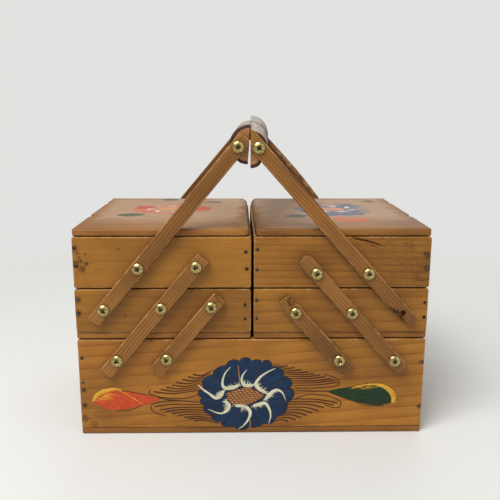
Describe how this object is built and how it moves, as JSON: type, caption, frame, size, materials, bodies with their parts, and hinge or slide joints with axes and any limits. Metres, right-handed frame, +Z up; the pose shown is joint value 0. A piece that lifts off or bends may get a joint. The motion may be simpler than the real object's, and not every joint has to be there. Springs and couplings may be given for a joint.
{
  "type": "sewing basket",
  "caption": "Wooden cantilever sewing box: trays swing out on parallel arms, hinged lids, and a carrying handle that splits as the box opens.",
  "frame": {"origin": "middle of the underside of the base floor, at the centre of the whole box seen from above", "axes": "+X to the right seen from the front, +Y to the back, +Z up"},
  "size_m": [0.2956, 0.1972, 0.2642],
  "materials": {
    "board_pine": "varnished honey-coloured pine, worn at the edges",
    "floor_pine": "thin pine panel, satin",
    "lid_pine": "worn grey-brown pine with painted flowers",
    "arm_pine": "varnished pine strip, straight grain",
    "handle_wood": "round branch wood worn smooth and grey, dark bark left at the ends",
    "screw_brass": "round-head brass, slightly tarnished",
    "hinge_steel": "dark aged steel"
  },
  "bodies": {
    "base": {"base_front_board": "board_pine", "base_back_board": "board_pine", "base_left_end": "board_pine", "base_right_end": "board_pine", "base_floor": "floor_pine"},
    "left_middle_arms": {"left_middle_arm_front": "arm_pine", "left_middle_arm_back": "arm_pine"},
    "left_short_arms": {"left_short_arm_front": "arm_pine", "left_short_arm_back": "arm_pine"},
    "left_middle_tray": {"left_middle_tray_front_board": "board_pine", "left_middle_tray_back_board": "board_pine", "left_middle_tray_inner_end": "board_pine", "left_middle_tray_outer_end": "board_pine", "left_middle_tray_floor": "floor_pine"},
    "left_top_tray": {"left_top_tray_front_board": "board_pine", "left_top_tray_back_board": "board_pine", "left_top_tray_inner_end": "board_pine", "left_top_tray_outer_end": "board_pine", "left_top_tray_floor": "floor_pine", "left_lid_hinge_front_tray_leaf": "hinge_steel", "left_lid_hinge_front_pin": "hinge_steel", "left_lid_hinge_back_tray_leaf": "hinge_steel", "left_lid_hinge_back_pin": "hinge_steel"},
    "left_handle": {"left_handle_arm_front": "arm_pine", "left_handle_arm_back": "arm_pine", "left_handle_half": "handle_wood", "left_handle_screw_front": "screw_brass", "left_handle_screw_back": "screw_brass"},
    "left_lid": {"left_lid": "lid_pine", "left_lid_hinge_front_lid_leaf": "hinge_steel", "left_lid_hinge_back_lid_leaf": "hinge_steel"},
    "right_middle_arms": {"right_middle_arm_front": "arm_pine", "right_middle_arm_back": "arm_pine"},
    "right_short_arms": {"right_short_arm_front": "arm_pine", "right_short_arm_back": "arm_pine"},
    "right_middle_tray": {"right_middle_tray_front_board": "board_pine", "right_middle_tray_back_board": "board_pine", "right_middle_tray_inner_end": "board_pine", "right_middle_tray_outer_end": "board_pine", "right_middle_tray_floor": "floor_pine"},
    "right_top_tray": {"right_top_tray_front_board": "board_pine", "right_top_tray_back_board": "board_pine", "right_top_tray_inner_end": "board_pine", "right_top_tray_outer_end": "board_pine", "right_top_tray_floor": "floor_pine", "right_lid_hinge_front_tray_leaf": "hinge_steel", "right_lid_hinge_front_pin": "hinge_steel", "right_lid_hinge_back_tray_leaf": "hinge_steel", "right_lid_hinge_back_pin": "hinge_steel"},
    "right_handle": {"right_handle_arm_front": "arm_pine", "right_handle_arm_back": "arm_pine", "right_handle_half": "handle_wood", "right_handle_screw_front": "screw_brass", "right_handle_screw_back": "screw_brass"},
    "right_lid": {"right_lid": "lid_pine", "right_lid_hinge_front_lid_leaf": "hinge_steel", "right_lid_hinge_back_lid_leaf": "hinge_steel"}
  },
  "joints": [
    {"name": "left_side_opening", "type": "hinge", "parent": "base", "child": "left_middle_arms", "pos_m": [-0.1115, 0, 0.0685], "axis": [0, -1, 0], "range_deg": [0, 79.6]},
    {"name": "left_short_arm_swing", "type": "hinge", "parent": "base", "child": "left_short_arms", "pos_m": [-0.0707, 0, 0.0695], "axis": [0, -1, 0], "range_deg": [0, 79.6]},
    {"name": "left_middle_tray_levelling", "type": "hinge", "parent": "left_middle_arms", "child": "left_middle_tray", "pos_m": [-0.07418, 0, 0.11329], "axis": [0, -1, 0], "range_deg": [-79.6, 0]},
    {"name": "left_top_tray_levelling", "type": "hinge", "parent": "left_middle_arms", "child": "left_top_tray", "pos_m": [-0.04544, 0, 0.14779], "axis": [0, -1, 0], "range_deg": [-79.6, 0]},
    {"name": "left_handle_arm_swing", "type": "hinge", "parent": "left_middle_tray", "child": "left_handle", "pos_m": [-0.1206, 0, 0.1121], "axis": [0, -1, 0], "range_deg": [0, 79.6]},
    {"name": "left_lid_opening", "type": "hinge", "parent": "left_top_tray", "child": "left_lid", "pos_m": [-0.146, 0, 0.17165], "axis": [0, -1, 0], "range_deg": [0, 92]},
    {"name": "right_side_opening", "type": "hinge", "parent": "base", "child": "right_middle_arms", "pos_m": [0.118, 0, 0.0676], "axis": [0, 1, 0], "range_deg": [0, 83.2]},
    {"name": "right_short_arm_swing", "type": "hinge", "parent": "base", "child": "right_short_arms", "pos_m": [0.0721, 0, 0.068], "axis": [0, 1, 0], "range_deg": [0, 83.2]},
    {"name": "right_middle_tray_levelling", "type": "hinge", "parent": "right_middle_arms", "child": "right_middle_tray", "pos_m": [0.08128, 0, 0.10895], "axis": [0, 1, 0], "range_deg": [-83.2, 0]},
    {"name": "right_top_tray_levelling", "type": "hinge", "parent": "right_middle_arms", "child": "right_top_tray", "pos_m": [0.05174, 0, 0.14223], "axis": [0, 1, 0], "range_deg": [-83.2, 0]},
    {"name": "right_handle_arm_swing", "type": "hinge", "parent": "right_middle_tray", "child": "right_handle", "pos_m": [0.1232, 0, 0.1089], "axis": [0, 1, 0], "range_deg": [0, 83.2]},
    {"name": "right_lid_opening", "type": "hinge", "parent": "right_top_tray", "child": "right_lid", "pos_m": [0.146, 0, 0.17165], "axis": [0, 1, 0], "range_deg": [0, 92]}
  ],
  "couplings": [
    {"joint": "left_short_arm_swing", "follows": "left_side_opening", "ratio": 1},
    {"joint": "left_middle_tray_levelling", "follows": "left_side_opening", "ratio": -1},
    {"joint": "left_top_tray_levelling", "follows": "left_side_opening", "ratio": -1},
    {"joint": "left_handle_arm_swing", "follows": "left_side_opening", "ratio": 1},
    {"joint": "right_short_arm_swing", "follows": "right_side_opening", "ratio": 1},
    {"joint": "right_middle_tray_levelling", "follows": "right_side_opening", "ratio": -1},
    {"joint": "right_top_tray_levelling", "follows": "right_side_opening", "ratio": -1},
    {"joint": "right_handle_arm_swing", "follows": "right_side_opening", "ratio": 1}
  ]
}
